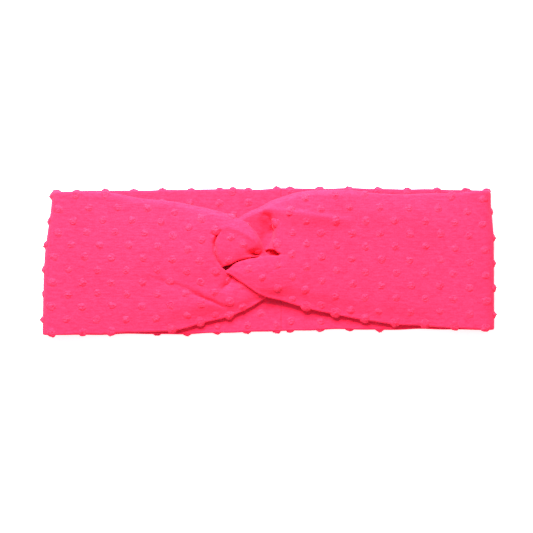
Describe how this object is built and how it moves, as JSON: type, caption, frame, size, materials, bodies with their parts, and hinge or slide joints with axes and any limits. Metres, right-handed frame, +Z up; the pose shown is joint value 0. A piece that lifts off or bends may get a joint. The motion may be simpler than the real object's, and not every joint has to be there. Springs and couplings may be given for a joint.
{
  "type": "sports headband",
  "caption": "Wide twist-front fabric headband: two double-jersey straps sewn together at the centre back and hooked through each other in a gathered knot at the front, laid flat.",
  "frame": {"origin": "on the surface it lies on, under the middle of its bounding box", "axes": "+X along the flat band, +Y across it to the upper edge as worn, +Z up through the knot"},
  "size_m": [0.24, 0.0782, 0.0145],
  "materials": {
    "dotted_jersey": "matt hot-pink knit with raised tufted dots",
    "seam_thread": "matt spun sewing thread matched to the cloth"
  },
  "bodies": {
    "root": {"left_strap_outer": "dotted_jersey", "left_strap_lining": "dotted_jersey", "right_strap_outer": "dotted_jersey", "right_strap_lining": "dotted_jersey", "left_knot_loop": "dotted_jersey", "right_knot_loop": "dotted_jersey", "left_long_seam_thread": "seam_thread", "right_long_seam_thread": "seam_thread", "centre_back_seam_allowance": "dotted_jersey", "centre_back_seam_thread": "seam_thread"}
  },
  "joints": []
}
